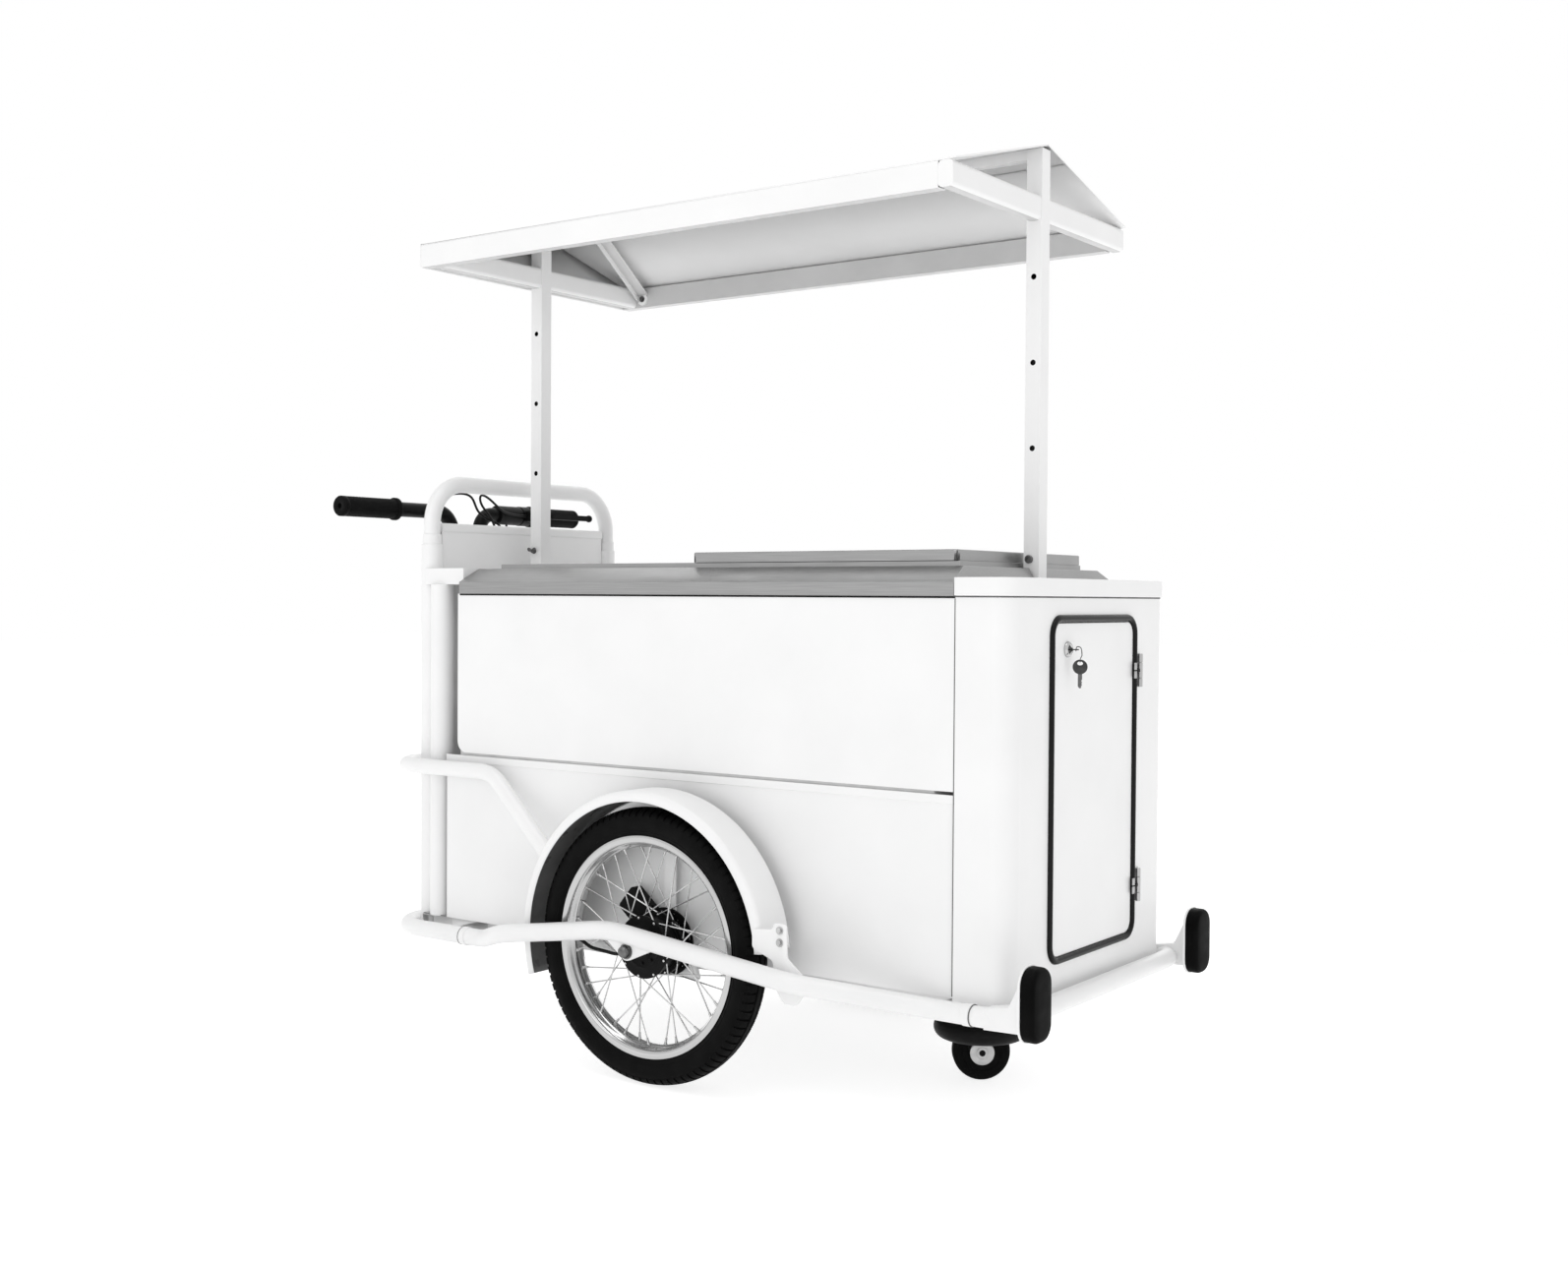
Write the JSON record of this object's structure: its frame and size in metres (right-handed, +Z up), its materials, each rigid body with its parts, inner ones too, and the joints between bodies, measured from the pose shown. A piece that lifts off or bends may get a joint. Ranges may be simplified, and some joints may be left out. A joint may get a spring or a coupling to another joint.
{
  "type": "ice pushcart",
  "caption": "White pushcart with an insulated ice tub, sliding steel lids, spoked road wheels, a swivelling front caster and a gabled canopy on posts.",
  "frame": {"origin": "bottom centre of the bounding box, on the floor under the cart", "axes": "+X towards the front end with the door, +Y towards the operator's left hand, +Z up"},
  "size_m": [1.76, 0.97, 1.783],
  "materials": {
    "white_paint": "gloss",
    "roof_sheet": "satin",
    "battery_case": "satin",
    "frame_paint": "satin",
    "black_paint": "satin",
    "black_plastic": "matte",
    "black_hub": "satin",
    "black_metal": "satin",
    "dark_rubber": "matte",
    "tyre_rubber": "matte",
    "rim_alloy": "polished",
    "spoke_steel": "polished",
    "zinc_steel": "satin",
    "stainless": "satin",
    "foam": "matte",
    "hinge_steel": "satin",
    "lock_chrome": "polished",
    "key_metal": "satin"
  },
  "bodies": {
    "cart": {"side_rails": "white_paint", "rear_lower_rail": "white_paint", "front_bar": "white_paint", "upper_rear_bar": "white_paint", "wheel_brackets": "white_paint", "fenders": "white_paint", "corner_posts": "white_paint", "handle_uprights": "white_paint", "guard_hoop": "white_paint", "rear_cap": "white_paint", "rear_panel": "white_paint", "upstand_panel": "white_paint", "upper_panels": "white_paint", "lower_panels": "white_paint", "front_fairing": "white_paint", "front_cap": "white_paint", "battery": "battery_case", "chassis_frame": "frame_paint", "floor_panel": "frame_paint", "post_stubs": "frame_paint", "handlebar": "black_paint", "handlebar_mount": "black_paint", "left_controls": "black_plastic", "motor_controller": "black_plastic", "brake_calipers": "black_hub", "left_grip": "dark_rubber", "door_seal": "dark_rubber", "bumper_pads": "dark_rubber", "control_cables": "dark_rubber", "axles": "zinc_steel", "caster_plate": "zinc_steel", "worktop": "stainless", "inner_liner": "stainless", "insulation": "foam", "hinge_brackets": "hinge_steel"},
    "wheel_right": {"tyre_right": "tyre_rubber", "rim_right": "rim_alloy", "spokes_right": "spoke_steel", "hub_right": "black_hub"},
    "wheel_left": {"tyre_left": "tyre_rubber", "rim_left": "rim_alloy", "spokes_left": "spoke_steel", "hub_left": "black_hub"},
    "caster_swivel": {"caster_fork": "zinc_steel", "caster_guard": "dark_rubber"},
    "caster_wheel": {"caster_tyre": "tyre_rubber", "caster_hub": "zinc_steel"},
    "door": {"door_panel": "white_paint", "door_hinges": "hinge_steel", "lock_body": "lock_chrome"},
    "lock": {"lock_cylinder": "lock_chrome", "lock_key": "key_metal"},
    "hanging_key": {"spare_key": "key_metal"},
    "lid_front": {"front_lid": "stainless"},
    "lid_rear": {"rear_lid": "stainless"},
    "canopy": {"canopy_posts": "white_paint", "roof_frame": "white_paint", "roof_panels": "roof_sheet"},
    "throttle": {"throttle_grip": "dark_rubber"},
    "brake": {"brake_lever": "black_metal"}
  },
  "joints": [
    {"name": "wheel_right_spin", "type": "hinge", "parent": "cart", "child": "wheel_right", "pos_m": [0.07, -0.395, 0.265], "axis": [0, 1, 0], "continuous": true},
    {"name": "wheel_left_spin", "type": "hinge", "parent": "cart", "child": "wheel_left", "pos_m": [0.07, 0.395, 0.265], "axis": [0, 1, 0], "continuous": true},
    {"name": "caster_swivel_turn", "type": "hinge", "parent": "cart", "child": "caster_swivel", "pos_m": [0.54, 0, 0.15], "axis": [0, 0, 1], "continuous": true},
    {"name": "caster_wheel_spin", "type": "hinge", "parent": "caster_swivel", "child": "caster_wheel", "pos_m": [0.56023, 0.01469, 0.056], "axis": [0.5878, -0.809, 0], "continuous": true},
    {"name": "door_swing", "type": "hinge", "parent": "cart", "child": "door", "pos_m": [0.807, 0.187, 0.5885], "axis": [0, 0, 1], "range_deg": [0, 110]},
    {"name": "lock_turn", "type": "hinge", "parent": "door", "child": "lock", "pos_m": [0.801, -0.112, 0.842], "axis": [-1, 0, 0], "range_deg": [0, 90]},
    {"name": "key_swing", "type": "hinge", "parent": "lock", "child": "hanging_key", "pos_m": [0.82858, -0.11733, 0.8203], "axis": [0.5, -0.866, 0], "range_deg": [-30, 60]},
    {"name": "front_lid_slide", "type": "slide", "parent": "cart", "child": "lid_front", "axis": [-1, 0, 0], "range_m": [0, 0.52]},
    {"name": "rear_lid_slide", "type": "slide", "parent": "cart", "child": "lid_rear", "axis": [1, 0, 0], "range_m": [0, 0.5]},
    {"name": "canopy_height", "type": "slide", "parent": "cart", "child": "canopy", "axis": [0, 0, 1], "range_m": [0, 0.321]},
    {"name": "throttle_twist", "type": "hinge", "parent": "cart", "child": "throttle", "pos_m": [-0.854, -0.3, 1.13], "axis": [0, -1, 0], "range_deg": [0, 70], "stiffness_Nm_per_rad": 0.5, "springref_deg": -11.46},
    {"name": "brake_squeeze", "type": "hinge", "parent": "cart", "child": "brake", "pos_m": [-0.802, 0.196, 1.13], "axis": [0, 0, 1], "range_deg": [0, 9], "stiffness_Nm_per_rad": 8, "springref_deg": -5.73}
  ]
}
